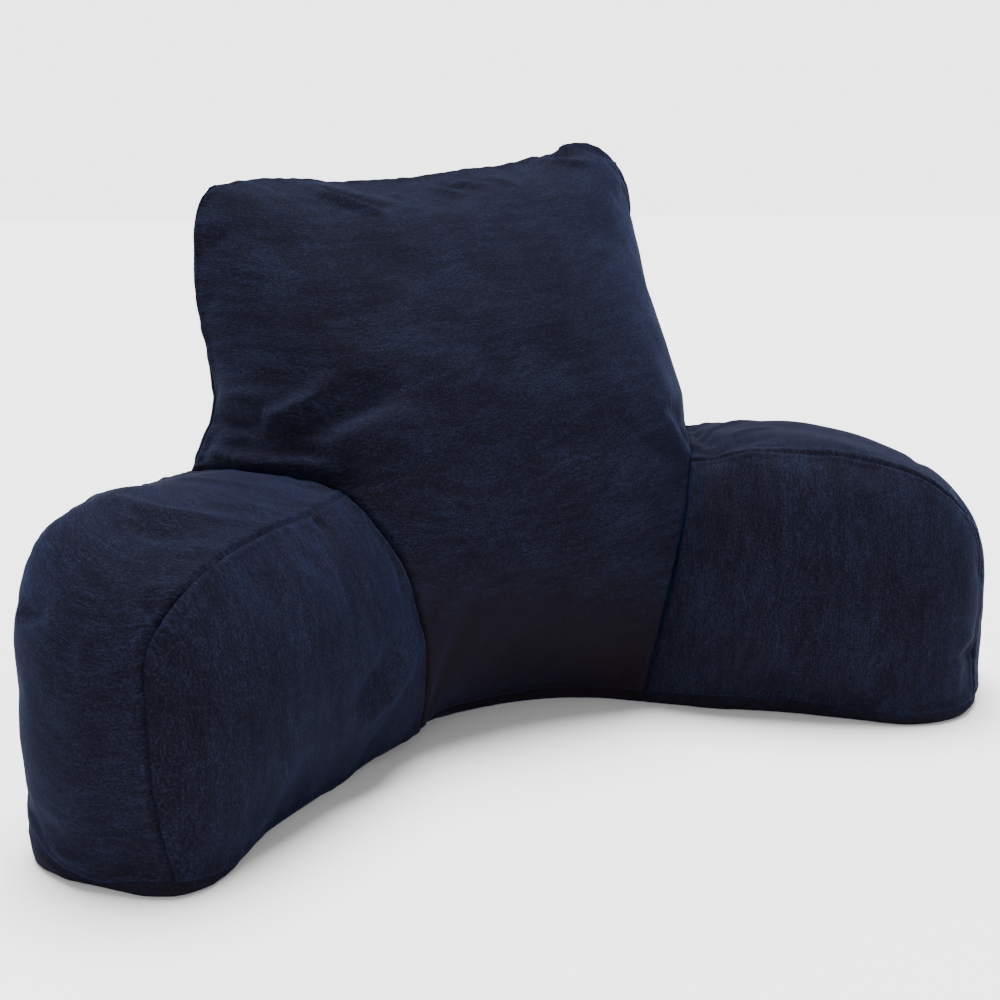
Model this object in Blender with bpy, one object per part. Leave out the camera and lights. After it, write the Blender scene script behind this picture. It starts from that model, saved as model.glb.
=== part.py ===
"""Reading pillow with arms: a leaning back rest between two boxed arms, all filled cloth.

Metres, +Z up, standing on Z = 0. The sitter's side faces -Y and +X is to the right of
someone who looks at that side. The origin is under the middle of the pillow's box.

Each of the three filled pieces is a closed shell of cloth panels. A panel is a patch
between four seam curves (a Coons patch), puffed up along its own normal: steep beside
its seams and almost flat in its middle. A few rounds of smoothing then even out the
cloth between the seams, and the folds are soft ridges and troughs along short curves.
"""

import math

import bpy
import numpy as np

# Driving sizes
ARM_SPLAY = math.radians(58.7)    # an arm's direction, turned outwards from straight ahead
ARM_ROOT_X = 0.105                # the inner seam's foot, from the middle plane
SEAM_UP = 0.010                   # the base seam runs this far above the floor
BASE_INSET = 0.002                # the base panel turns down to the floor over this width
GAP = 0.0003                      # between an arm and the back rest
MIDDLE = (-0.0024, 0.0528)        # x and y of the middle of the box, before it is centred

# Points along each kind of seam
N_LONG = 17       # along an arm
N_UP = 14         # from the floor to the neck
N_WIDE = 11       # across an arm
N_FRONT = 17      # across the front, between the arms
N_HIGH = 20       # from the neck to the top
EVENNESS = 0.55   # 1 spreads points evenly, 0 crowds them towards the seams
FOLD_STEPS = 25   # along a fold's line

# How the cloth evens out between its seams
ARM_ROUNDS = 8
BACK_ROUNDS = 12
ROUND_SHARE = 0.5

# The arms' seams in each arm's own directions, from the inner seam's foot: along the
# arm, outwards across it, and up. The left arm has a squarer end, the right one slopes.
INNER_EDGE = {
    # along, out, up: the inner D panel's edge, from the neck over the top to the tip's foot
    "left": [
        (0.035, 0.040, 0.203),
        (0.070, 0.033, 0.200),
        (0.108, 0.026, 0.199),
        (0.143, 0.020, 0.200),
        (0.177, 0.013, 0.199),
        (0.203, 0.009, 0.195),
        (0.231, 0.006, 0.187),
        (0.252, 0.009, 0.171),
        (0.264, 0.011, 0.155),
        (0.268, 0.010, 0.120),
        (0.269, 0.007, 0.070),
        (0.261, 0.000, SEAM_UP),
    ],
    "right": [
        (0.030, 0.040, 0.199),
        (0.050, 0.028, 0.203),
        (0.072, 0.015, 0.212),
        (0.107, 0.006, 0.213),
        (0.154, 0.004, 0.210),
        (0.193, 0.003, 0.201),
        (0.231, 0.005, 0.181),
        (0.250, 0.009, 0.164),
        (0.262, 0.012, 0.143),
        (0.268, 0.011, 0.100),
        (0.264, 0.006, 0.055),
        (0.260, 0.000, SEAM_UP),
    ],
}
OUTER_EDGE = {
    # along, out, up: the outer D panel's edge, likewise
    "left": [
        (0.036, 0.191, 0.205),
        (0.092, 0.173, 0.207),
        (0.142, 0.150, 0.212),
        (0.184, 0.141, 0.210),
        (0.218, 0.138, 0.198),
        (0.235, 0.139, 0.164),
        (0.241, 0.138, 0.100),
        (0.248, 0.139, SEAM_UP),
    ],
    "right": [
        (0.036, 0.191, 0.205),
        (0.092, 0.173, 0.209),
        (0.142, 0.150, 0.208),
        (0.180, 0.141, 0.195),
        (0.208, 0.139, 0.173),
        (0.232, 0.143, 0.142),
        (0.248, 0.147, 0.090),
        (0.252, 0.147, SEAM_UP),
    ],
}
INNER_FOOT = {
    # along, out: the inner panel's base seam between its ends
    "left": [(0.045, 0.019), (0.113, 0.016), (0.179, 0.008), (0.230, -0.004)],
    "right": [(0.050, -0.006), (0.112, -0.019), (0.160, -0.031), (0.205, -0.034), (0.240, -0.019)],
}
END_FOOT = {
    # along, out: the boxing strip's base seam round the arm's end
    "left": [(0.279, 0.037), (0.289, 0.080), (0.280, 0.118)],
    "right": [(0.276, 0.037), (0.285, 0.077), (0.274, 0.115)],
}
OUTER_FOOT = [(0.130, 0.160)]
TOP_SHARE = 0.54          # how much of an edge's length runs over the arm's top
NECK_ARCH = 0.004         # the neck seam's middle stands this much higher

INNER_SEAM = [
    # x, y, z: front panel to the arm's inner panel, from the floor towards the neck
    (ARM_ROOT_X, 0.000, SEAM_UP),
    (0.107, -0.012, 0.060),
    (0.114, -0.017, 0.113),
    (0.129, -0.009, 0.163),
]
OUTER_SEAM = [
    # x, y, z: rear panel to the arm's outer panel, from the floor towards the neck
    (0.186, 0.130, SEAM_UP),
    (0.206, 0.142, 0.110),
]

# The back rest's own seams: x, y from the foot of the front panel towards the rear, z.
SIDE_SEAM = {
    # x, y, z: from above the neck to the rounded corner; the right corner stands up
    "left": [
        (-0.221, 0.150, 0.226),
        (-0.210, 0.154, 0.242),
        (-0.208, 0.161, 0.268),
        (-0.211, 0.170, 0.303),
        (-0.212, 0.179, 0.333),
        (-0.210, 0.187, 0.364),
        (-0.206, 0.195, 0.395),
        (-0.200, 0.199, 0.411),
        (-0.190, 0.202, 0.421),
    ],
    "right": [
        (0.222, 0.150, 0.226),
        (0.212, 0.154, 0.242),
        (0.206, 0.161, 0.268),
        (0.202, 0.170, 0.303),
        (0.201, 0.179, 0.333),
        (0.203, 0.187, 0.364),
        (0.206, 0.195, 0.395),
        (0.206, 0.201, 0.422),
        (0.196, 0.208, 0.446),
    ],
}
TOP_SEAM = [
    # x, y, z: from the left corner to the right one
    (-0.190, 0.202, 0.421),
    (-0.172, 0.203, 0.426),
    (-0.150, 0.204, 0.428),
    (-0.089, 0.203, 0.427),
    (-0.016, 0.204, 0.429),
    (0.063, 0.207, 0.440),
    (0.105, 0.210, 0.450),
    (0.149, 0.213, 0.462),
    (0.175, 0.213, 0.462),
    (0.196, 0.208, 0.446),
]
FRONT_FOOT = [
    # x, y, z: the front panel's base seam, left to right
    (-ARM_ROOT_X, 0.0, SEAM_UP),
    (-0.062, 0.046, SEAM_UP),
    (0.0, 0.053, SEAM_UP),
    (0.062, 0.037, SEAM_UP),
    (ARM_ROOT_X, 0.0, SEAM_UP),
]
FRONT_AT_NECK = [
    # x, y, z: across the front panel from neck to neck; no seam, it only shapes the cloth
    (-0.090, 0.011, 0.211),
    (0.0, 0.022, 0.214),
    (0.090, 0.011, 0.211),
]
REAR_FOOT_Y = 0.200       # the middle of the rear panel's base seam

# How far each panel stands proud of its seams, and how steeply it leaves them
# (an exponent: 0.5 is round and steep, 1 is a shallow dome).
PUFF = {
    # panel: (height, exponent)
    "inner_left": (0.024, 0.60),
    "inner_right": (0.022, 0.60),
    "outer_left": (0.014, 0.80),
    "outer_right": (0.016, 0.80),
    "boxing_left": (0.016, 0.60),
    "boxing_right": (0.010, 0.60),
    "front_low": (0.014, 0.70),
    "front_high": (0.042, 0.52),
    "rear": (0.064, 0.52),
}

# Folds: soft ridges (height above 0) and troughs (below 0) along a bent line.
FOLDS = {
    # piece: (start, bend, end) as x, y, z, half width, height
    "back_rest": [
        # the ridge over the left arm's neck seam, and the troughs and ridge above it
        ((-0.222, 0.141, 0.226), (-0.190, 0.075, 0.223), (-0.150, 0.026, 0.221), 0.011, 0.006),
        ((-0.206, 0.125, 0.243), (-0.180, 0.073, 0.242), (-0.145, 0.048, 0.256), 0.011, -0.006),
        ((-0.206, 0.137, 0.258), (-0.176, 0.078, 0.262), (-0.139, 0.058, 0.286), 0.012, 0.005),
        ((-0.172, 0.057, 0.240), (-0.126, 0.034, 0.251), (-0.093, 0.043, 0.263), 0.012, 0.003),
        # the crease that runs down from the top seam near the left corner
        ((-0.118, 0.176, 0.420), (-0.090, 0.159, 0.410), (-0.058, 0.143, 0.397), 0.013, 0.004),
        ((-0.125, 0.168, 0.404), (-0.100, 0.152, 0.395), (-0.075, 0.143, 0.388), 0.013, -0.003),
        # the hollow beside the right corner
        ((0.118, 0.200, 0.452), (0.106, 0.176, 0.434), (0.090, 0.150, 0.405), 0.016, -0.005),
    ],
    "arm_left": [
        # the crease at the foot of the arm's end, and the bulge over it
        ((-0.402, -0.071, 0.036), (-0.387, -0.090, 0.024), (-0.371, -0.107, 0.013), 0.010, -0.005),
        ((-0.400, -0.081, 0.060), (-0.385, -0.096, 0.048), (-0.366, -0.112, 0.038), 0.014, 0.004),
        # the dent half way down the end, and the tucks beside the inner seam
        ((-0.365, -0.113, 0.148), (-0.349, -0.125, 0.143), (-0.338, -0.130, 0.134), 0.012, -0.005),
        ((-0.312, -0.120, 0.180), (-0.323, -0.112, 0.183), (-0.336, -0.105, 0.185), 0.009, -0.004),
    ],
    "arm_right": [
        # the upright fold beside the neck, and the hollow next to it
        ((0.155, 0.002, 0.200), (0.142, -0.023, 0.174), (0.134, -0.038, 0.140), 0.012, 0.004),
        ((0.168, -0.020, 0.204), (0.157, -0.043, 0.177), (0.150, -0.056, 0.145), 0.012, -0.004),
    ],
}


def arm_point(along, out, up):
    """A point of the right arm, from its own directions to x, y, z."""
    x = ARM_ROOT_X + along * math.sin(ARM_SPLAY) + out * math.cos(ARM_SPLAY)
    y = -along * math.cos(ARM_SPLAY) + out * math.sin(ARM_SPLAY)
    return (x, y, up)


def spread(count):
    """Numbers from 0 to 1, a little closer together towards both ends."""
    even = np.linspace(0.0, 1.0, count)
    return EVENNESS * even + (1.0 - EVENNESS) * (0.5 - 0.5 * np.cos(math.pi * even))


def curve(points, count, start=0.0, end=1.0):
    """`count` points on a smooth curve through the given ones (cubic Hermite pieces,
    slopes from the neighbours), between two fractions of its length."""
    knots = np.array(points, float)
    chord = np.concatenate([[0.0], np.cumsum(np.linalg.norm(np.diff(knots, axis=0), axis=1))])
    if len(knots) < 3:
        fine = knots
    else:
        slope = np.gradient(knots, chord, axis=0, edge_order=2)
        t = np.linspace(0.0, chord[-1], 60 * len(knots))
        k = np.clip(np.searchsorted(chord, t, side="right") - 1, 0, len(knots) - 2)
        h = (chord[k + 1] - chord[k])[:, None]
        s = (t - chord[k])[:, None] / h
        fine = ((1 + 2 * s) * (1 - s) ** 2 * knots[k] + s * (1 - s) ** 2 * h * slope[k]
                + s ** 2 * (3 - 2 * s) * knots[k + 1] + s ** 2 * (s - 1) * h * slope[k + 1])
    length = np.concatenate([[0.0], np.cumsum(np.linalg.norm(np.diff(fine, axis=0), axis=1))])
    at = (start + (end - start) * spread(count)) * length[-1]
    return np.stack([np.interp(at, length, fine[:, axis]) for axis in range(3)], axis=1)


def join(*curves):
    """Curves laid end to end, each shared point kept once."""
    return np.concatenate([curves[0]] + [c[1:] for c in curves[1:]])


def patch(foot, top, left, right):
    """Grid of points [up, across] between four border curves (a Coons patch):
    the two blends of opposite borders, less the blend of the corners."""
    u = spread(len(foot))[None, :, None]
    v = spread(len(left))[:, None, None]
    across = (1 - u) * left[:, None] + u * right[:, None]
    upwards = (1 - v) * foot[None] + v * top[None]
    corners = ((1 - v) * ((1 - u) * foot[0] + u * foot[-1])
               + v * ((1 - u) * top[0] + u * top[-1]))
    return across + upwards - corners


def normals(grid):
    """Unit normals of a grid: across x up, so a panel seen with its foot down faces out."""
    across = np.gradient(grid, axis=1)
    upwards = np.gradient(grid, axis=0)
    n = np.cross(across, upwards)
    return n / np.maximum(np.linalg.norm(n, axis=2, keepdims=True), 1e-9)


def puffed(grid, panel):
    """The grid moved out along its normals by height * (16 u(1-u) v(1-v)) ** exponent."""
    height, exponent = PUFF[panel]
    u = spread(grid.shape[1])[None, :]
    v = spread(grid.shape[0])[:, None]
    crown = (16.0 * u * (1 - u) * v * (1 - v)) ** exponent
    return grid + normals(grid) * (height * crown)[:, :, None]


class Shell:
    """A closed skin gathered from panels; points that meet are one point."""

    def __init__(self):
        self.points = []
        self.lookup = {}
        self.faces = []
        self.fixed = set()

    def index(self, point):
        key = tuple(np.round(point * 1e5).astype(int))
        if key not in self.lookup:
            self.lookup[key] = len(self.points)
            self.points.append(point)
        return self.lookup[key]

    def add(self, grid):
        """Add a grid of quads, and keep its border where the seams are."""
        ids = np.array([[self.index(p) for p in row] for row in grid])
        for row in range(len(ids) - 1):
            for col in range(len(ids[0]) - 1):
                quad = [ids[row, col], ids[row, col + 1], ids[row + 1, col + 1], ids[row + 1, col]]
                corners = list(dict.fromkeys(quad))
                if len(corners) > 2:
                    self.faces.append(corners)
        border = np.concatenate([ids[0], ids[-1], ids[:, 0], ids[:, -1]])
        self.fixed.update(int(i) for i in border)

    def free(self, points):
        """Let go of border points that lie within one cloth."""
        self.fixed.difference_update(self.index(p) for p in points)

    def add_base(self, loop, root_foot):
        """Turn down from the seam loop to the floor, and close with one flat face.
        Below the face at the neck the sides go straight down."""
        apart = np.linalg.norm(loop[:, None] - root_foot[None], axis=2).min(axis=1)
        floor = loop + loop_inwards(loop) * np.where(apart > 1e-6, BASE_INSET, 0.0)[:, None]
        floor[:, 2] = 0.0
        outer = [self.index(p) for p in loop]
        inner = [self.index(p) for p in floor]
        self.fixed.update(inner)
        for k in range(len(loop)):
            j = (k + 1) % len(loop)
            self.faces.append([outer[j], outer[k], inner[k], inner[j]])
        self.faces.append(inner[::-1])


def loop_inwards(loop):
    """Unit directions into a closed loop seen from above (it runs anticlockwise)."""
    ahead = np.roll(loop, -1, axis=0) - np.roll(loop, 1, axis=0)
    side = np.stack([-ahead[:, 1], ahead[:, 0], np.zeros(len(loop))], axis=1)
    return side / np.linalg.norm(side, axis=1, keepdims=True)


def smoothed(points, faces, fixed, rounds, share):
    """Move each free point part of the way to the mean of its neighbours, several times."""
    pairs = {tuple(sorted((f[k], f[k - 1]))) for f in faces for k in range(len(f))}
    pairs = np.array(sorted(pairs))
    count = np.bincount(pairs.ravel(), minlength=len(points))[:, None]
    free = np.ones(len(points), bool)
    free[sorted(fixed)] = False
    points = points.copy()
    for _ in range(rounds):
        total = np.zeros_like(points)
        np.add.at(total, pairs[:, 0], points[pairs[:, 1]])
        np.add.at(total, pairs[:, 1], points[pairs[:, 0]])
        points[free] += share * (total / count - points)[free]
    return points


def point_normals(points, faces):
    """Unit normals at the points, from the faces round them (weighted by their size)."""
    total = np.zeros_like(points)
    for face in faces:
        corners = points[face]
        arrow = np.cross(corners, np.roll(corners, -1, axis=0)).sum(axis=0)
        total[face] += arrow
    return total / np.maximum(np.linalg.norm(total, axis=1, keepdims=True), 1e-12)


def folded(points, faces, fixed, rows):
    """Raise a ridge or sink a trough along each fold's line: height * exp(-(distance /
    half width) ** 2), fading to nothing at the line's ends; seam points stay."""
    lift = np.zeros(len(points))
    for start, bend, end, half_width, height in rows:
        line = curve([start, bend, end], FOLD_STEPS)
        away = np.linalg.norm(points[:, None] - line[None], axis=2)
        fade = np.sin(math.pi * spread(FOLD_STEPS))[np.argmin(away, axis=1)]
        lift += height * fade * np.exp(-(np.min(away, axis=1) / half_width) ** 2)
    lift[sorted(fixed)] = 0.0
    return points + point_normals(points, faces) * lift[:, None]


def arm_seams(side):
    """Every seam curve of one arm, by name."""
    turn = np.array([-1.0 if side == "left" else 1.0, 1.0, 1.0])
    inner_edge = [arm_point(*row) for row in INNER_EDGE[side]]
    outer_edge = [arm_point(*row) for row in OUTER_EDGE[side]]
    neck_top = 0.5 * (np.array(inner_edge[0]) + np.array(outer_edge[0])) + (0.0, 0.0, NECK_ARCH)
    inner_foot = [arm_point(*row, SEAM_UP) for row in INNER_FOOT[side]]
    outer_foot = [arm_point(*row, SEAM_UP) for row in OUTER_FOOT]
    end_foot = [arm_point(*row, SEAM_UP) for row in END_FOOT[side]]
    seams = {
        "inner": curve(INNER_SEAM + inner_edge[:1], N_UP),
        "outer": curve(OUTER_SEAM + outer_edge[:1], N_UP),
        "inner_top": curve(inner_edge, N_LONG, 0.0, TOP_SHARE),
        "inner_end": curve(inner_edge, N_UP, TOP_SHARE, 1.0),
        "outer_top": curve(outer_edge, N_LONG, 0.0, TOP_SHARE),
        "outer_end": curve(outer_edge, N_UP, TOP_SHARE, 1.0),
        "neck": curve([inner_edge[0], neck_top, outer_edge[0]], N_WIDE),
        "root_foot": curve([INNER_SEAM[0], OUTER_SEAM[0]], N_WIDE),
        "end_foot": curve([inner_edge[-1], *end_foot, outer_edge[-1]], N_WIDE),
        "inner_foot": curve([INNER_SEAM[0], *inner_foot, inner_edge[-1]], N_LONG),
        "outer_foot": curve([OUTER_SEAM[0], *outer_foot, outer_edge[-1]], N_LONG),
    }
    return {name: points * turn for name, points in seams.items()}


def build_arm(side, material):
    """A boxed arm: two D-shaped panels, the boxing strip over its top and down its end,
    the face it is sewn on by, and its base."""
    s = arm_seams(side)
    mirror = side == "left"
    shell = Shell()
    panels = {
        "inner": patch(s["inner_foot"], s["inner_top"], s["inner"], s["inner_end"][::-1]),
        "outer": patch(s["outer_foot"][::-1], s["outer_top"][::-1], s["outer_end"][::-1], s["outer"]),
        "boxing": patch(join(s["inner_top"], s["inner_end"]), join(s["outer_top"], s["outer_end"]),
                        s["neck"], s["end_foot"]),
    }
    for panel, grid in panels.items():
        shell.add(puffed(grid[:, ::-1] if mirror else grid, f"{panel}_{side}"))
    root = patch(s["root_foot"][::-1], s["neck"][::-1], s["outer"], s["inner"])
    shell.add(root[:, ::-1] if mirror else root)
    loop = join(s["inner_foot"], s["end_foot"], s["outer_foot"][::-1], s["root_foot"][::-1])[:-1]
    shell.add_base(loop[::-1] if mirror else loop, s["root_foot"])
    outwards = np.array([-1.0 if mirror else 1.0, 0.0, 0.0]) * math.sin(ARM_SPLAY)
    forwards = np.array([0.0, -math.cos(ARM_SPLAY), 0.0])
    return finish("arm_" + side, shell, ARM_ROUNDS, GAP * (outwards + forwards), material)


def build_back(material):
    """The back rest: a T-shaped front panel, a rear panel and the faces at the arms."""
    left = arm_seams("left")
    right = arm_seams("right")
    side_left = curve([left["outer"][-1].tolist()] + SIDE_SEAM["left"], N_HIGH)
    side_right = curve([right["outer"][-1].tolist()] + SIDE_SEAM["right"], N_HIGH)
    foot = curve(FRONT_FOOT, N_FRONT)
    neck_middle = curve([left["neck"][0].tolist()] + FRONT_AT_NECK + [right["neck"][0].tolist()], N_FRONT)
    neck_line = join(left["neck"][::-1], neck_middle, right["neck"])
    top = curve(TOP_SEAM, len(neck_line))
    rear_foot = curve([right["outer"][0], (0.0, REAR_FOOT_Y, SEAM_UP), left["outer"][0]], len(neck_line))

    shell = Shell()
    shell.add(puffed(patch(foot, neck_middle, left["inner"], right["inner"]), "front_low"))
    shell.add(puffed(patch(neck_line, top, side_left, side_right), "front_high"))
    shell.free(neck_middle[1:-1])
    shell.add(puffed(patch(rear_foot, top[::-1], join(right["outer"], side_right),
                           join(left["outer"], side_left)), "rear"))
    shell.add(patch(right["root_foot"], right["neck"], right["inner"], right["outer"]))
    shell.add(patch(left["root_foot"][::-1], left["neck"][::-1], left["outer"], left["inner"]))
    shell.add_base(join(foot, right["root_foot"], rear_foot, left["root_foot"][::-1])[:-1],
                   join(left["root_foot"], right["root_foot"]))
    return finish("back_rest", shell, BACK_ROUNDS, np.zeros(3), material)


def finish(name, shell, rounds, shift, material):
    """Smooth the shell between its seams, fold it and make it a named object."""
    points = smoothed(np.array(shell.points), shell.faces, shell.fixed, rounds, ROUND_SHARE)
    points = folded(points, shell.faces, shell.fixed, FOLDS[name])
    points = points + shift - np.array([MIDDLE[0], MIDDLE[1], 0.0])
    mesh = bpy.data.meshes.new(name)
    mesh.from_pydata(points.tolist(), [], shell.faces)
    mesh.materials.append(material)
    mesh.shade_smooth()
    piece = bpy.data.objects.new(name, mesh)
    bpy.context.scene.collection.objects.link(piece)
    return piece


def chenille(name):
    """Navy chenille: a dark, dull pile."""
    material = bpy.data.materials.new(name)
    material.use_nodes = True
    shader = material.node_tree.nodes["Principled BSDF"]
    shader.inputs["Base Color"].default_value = (0.014, 0.018, 0.038, 1.0)
    shader.inputs["Roughness"].default_value = 0.9
    shader.inputs["Metallic"].default_value = 0.0
    return material


def clear_scene():
    for old in list(bpy.data.objects):
        bpy.data.objects.remove(old)


def main():
    clear_scene()
    build_back(chenille("back_rest_chenille"))
    build_arm("left", chenille("arm_left_chenille"))
    build_arm("right", chenille("arm_right_chenille"))


main()
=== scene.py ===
"""Reading pillow with arms: three filled, sewn pieces of navy chenille on a pale floor.

Metres, +Z up. Each piece is a closed skin of cloth panels. A panel is a grid of points
between four seam curves, puffed along its normals and evened out, then blown up a little
by a short cloth simulation with its seams held. The folds, the drawn-in seams and their
puckers are worked out on the finer skin after that.
"""

import math

import bpy
import numpy as np
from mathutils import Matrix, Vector


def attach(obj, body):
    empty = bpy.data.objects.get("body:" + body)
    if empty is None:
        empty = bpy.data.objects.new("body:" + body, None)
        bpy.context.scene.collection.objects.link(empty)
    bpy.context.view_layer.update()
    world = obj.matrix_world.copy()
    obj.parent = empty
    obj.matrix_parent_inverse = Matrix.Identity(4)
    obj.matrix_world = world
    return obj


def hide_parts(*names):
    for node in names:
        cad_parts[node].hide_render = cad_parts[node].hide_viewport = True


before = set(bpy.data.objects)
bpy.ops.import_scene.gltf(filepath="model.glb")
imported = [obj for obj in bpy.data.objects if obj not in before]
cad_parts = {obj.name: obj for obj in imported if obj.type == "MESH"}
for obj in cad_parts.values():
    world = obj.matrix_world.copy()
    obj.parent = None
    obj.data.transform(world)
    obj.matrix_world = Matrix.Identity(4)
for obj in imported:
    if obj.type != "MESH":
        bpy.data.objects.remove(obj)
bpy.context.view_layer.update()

MM = 0.001

# Driving sizes, as in the solids
ARM_SPLAY = math.radians(58.7)    # an arm's direction, turned outwards from straight ahead
ARM_ROOT_X = 0.105                # the inner seam's foot, from the middle plane
SEAM_UP = 0.010                   # the base seam runs this far above the floor
GAP = 0.0003                      # between an arm and the back rest
MIDDLE = np.array([-0.0024, 0.0528, 0.0])    # under the box's middle, before it is centred

# The skin's cells
N_LONG = 52                       # along an arm
N_UP = 41                         # from the floor to the neck
N_WIDE = 29                       # across an arm
N_FRONT = 43                      # across the front, between the arms
N_HIGH = 47                       # from the neck to the top
EVENNESS = 0.35                   # 1 spreads points evenly, 0 crowds them to the seams
CURVE_SAMPLES = 60                # on a smooth curve, for each point that it is given
WELD_STEP = 0.01 * MM             # points that round to the same step are one point
ON_SEAM = 0.02 * MM               # a point this near a seam curve is on it
SLICE = 20000                     # points compared with a line at a time

# How the cloth evens out between its seams
ARM_ROUNDS = 55
BACK_ROUNDS = 80
ROUND_SHARE = 0.5
BASE_REACH = 0.004                # the base cloth turns from its seam to the floor in this
ROOT_REACH = 0.066                # and in so much more at the left arm's root
ROOT_SPREAD = 0.042               # within this distance of it
RIB_LEAN = 9.0                    # degrees that the back rest's rib leans up to the right
PLAN_RUN = 1.5                    # the weave's run, for each metre that a flat panel turns up

# The arms' seams in each arm's own directions, from the inner seam's foot: along the
# arm, outwards across it, and up. The left arm has a squarer end, the right one slopes.
INNER_EDGE = {
    # along, out, up: the inner D panel's edge, from the neck over the top to the tip's foot
    "left": [
        (0.035, 0.040, 0.203),
        (0.070, 0.033, 0.200),
        (0.108, 0.026, 0.199),
        (0.143, 0.020, 0.200),
        (0.177, 0.013, 0.199),
        (0.203, 0.009, 0.195),
        (0.231, 0.006, 0.187),
        (0.252, 0.009, 0.171),
        (0.264, 0.011, 0.155),
        (0.268, 0.010, 0.120),
        (0.269, 0.007, 0.070),
        (0.261, 0.000, SEAM_UP),
    ],
    "right": [
        (0.030, 0.040, 0.199),
        (0.050, 0.028, 0.203),
        (0.072, 0.015, 0.212),
        (0.107, 0.006, 0.213),
        (0.154, 0.004, 0.210),
        (0.193, 0.003, 0.201),
        (0.231, 0.005, 0.181),
        (0.250, 0.009, 0.164),
        (0.262, 0.012, 0.143),
        (0.268, 0.011, 0.100),
        (0.264, 0.006, 0.055),
        (0.262, -0.005, SEAM_UP),
    ],
}
OUTER_EDGE = {
    # along, out, up: the outer D panel's edge, likewise
    "left": [
        (0.036, 0.191, 0.205),
        (0.092, 0.173, 0.207),
        (0.142, 0.150, 0.212),
        (0.184, 0.141, 0.213),
        (0.218, 0.138, 0.202),
        (0.235, 0.139, 0.166),
        (0.239, 0.138, 0.100),
        (0.245, 0.136, 0.026),
    ],
    "right": [
        (0.036, 0.191, 0.205),
        (0.092, 0.173, 0.209),
        (0.142, 0.150, 0.208),
        (0.180, 0.141, 0.195),
        (0.208, 0.139, 0.173),
        (0.232, 0.143, 0.142),
        (0.248, 0.147, 0.090),
        (0.252, 0.147, SEAM_UP),
    ],
}
INNER_FOOT = {
    # along, out, up: the inner panel's base seam between its ends; the left one rolls under
    "left": [
        (0.045, 0.012, 0.006),
        (0.113, 0.012, 0.003),
        (0.179, 0.006, 0.003),
        (0.228, -0.009, 0.005),
        (0.248, -0.007, 0.008),
    ],
    "right": [
        (0.050, -0.015, 0.012),
        (0.112, -0.022, 0.012),
        (0.160, -0.033, 0.010),
        (0.205, -0.042, 0.009),
        (0.240, -0.028, 0.009),
    ],
}
END_FOOT = {
    # along, out, up: the boxing strip's base seam round the arm's end; at the left arm's
    # outer corner the base cloth is drawn up
    "left": [(0.271, 0.018, 0.010), (0.276, 0.048, 0.004), (0.281, 0.078, 0.010), (0.276, 0.112, 0.030)],
    "right": [(0.276, 0.037, 0.009), (0.285, 0.077, 0.010), (0.274, 0.115, 0.010)],
}
OUTER_FOOT = [(0.130, 0.160, SEAM_UP)]
TOP_SHARE = 0.54          # how much of an edge's length runs over the arm's top
NECK_ARCH = 0.004         # the neck seam's middle stands this much higher

INNER_SEAM = {
    # x, y, z: front panel to the arm's inner panel, from the floor towards the neck, as on
    # the right side
    "left": [
        (0.105, 0.000, 0.016),
        (0.107, -0.012, 0.060),
        (0.114, -0.017, 0.113),
        (0.129, -0.009, 0.163),
    ],
    "right": [
        (0.098, 0.000, SEAM_UP),
        (0.102, -0.012, 0.060),
        (0.112, -0.017, 0.113),
        (0.129, -0.009, 0.163),
    ],
}
OUTER_SEAM = [
    # x, y, z: rear panel to the arm's outer panel, from the floor towards the neck
    (0.186, 0.130, SEAM_UP),
    (0.206, 0.142, 0.110),
]
SIDE_SEAM = {
    # x, y, z: from above the neck to the rounded corner; the right corner stands up
    "left": [
        (-0.221, 0.150, 0.226),
        (-0.210, 0.154, 0.242),
        (-0.207, 0.161, 0.268),
        (-0.213, 0.170, 0.303),
        (-0.215, 0.179, 0.333),
        (-0.213, 0.187, 0.364),
        (-0.209, 0.195, 0.395),
        (-0.202, 0.199, 0.411),
        (-0.190, 0.202, 0.421),
    ],
    "right": [
        (0.226, 0.150, 0.226),
        (0.217, 0.154, 0.242),
        (0.209, 0.161, 0.268),
        (0.202, 0.170, 0.303),
        (0.201, 0.179, 0.333),
        (0.203, 0.187, 0.364),
        (0.206, 0.195, 0.395),
        (0.206, 0.201, 0.422),
        (0.196, 0.208, 0.446),
    ],
}
TOP_SEAM = [
    # x, y, z: from the left corner to the right one
    (-0.190, 0.202, 0.421),
    (-0.172, 0.203, 0.426),
    (-0.150, 0.204, 0.428),
    (-0.089, 0.203, 0.427),
    (-0.016, 0.204, 0.431),
    (0.063, 0.207, 0.442),
    (0.105, 0.210, 0.450),
    (0.149, 0.213, 0.463),
    (0.175, 0.213, 0.462),
    (0.196, 0.208, 0.446),
]
TOP_CORNERS = np.array([TOP_SEAM[0], TOP_SEAM[-1]]) - MIDDLE
FRONT_FOOT = [
    # x, y, z: the front panel's base seam, left to right
    (-0.105, 0.0, 0.016),
    (-0.062, 0.044, SEAM_UP),
    (0.0, 0.050, SEAM_UP),
    (0.062, 0.031, SEAM_UP),
    (0.098, 0.0, SEAM_UP),
]
FRONT_AT_NECK = [
    # x, y, z: across the front panel from neck to neck; no seam, it only shapes the cloth
    (-0.090, 0.011, 0.211),
    (0.0, 0.022, 0.214),
    (0.090, 0.011, 0.211),
]
REAR_FOOT_Y = 0.200                   # the middle of the rear panel's base seam

PUFF = {
    # panel: (height, exponent): how proud and how steep it stands from its seams
    "inner_left": (0.022, 0.60),
    "inner_right": (0.020, 0.60),
    "outer_left": (0.012, 0.80),
    "outer_right": (0.014, 0.80),
    "boxing_left": (0.014, 0.60),
    "boxing_right": (0.008, 0.60),
    "front_low": (0.014, 0.70),
    "front_high": (0.040, 0.52),
    "rear": (0.060, 0.52),
}

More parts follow.
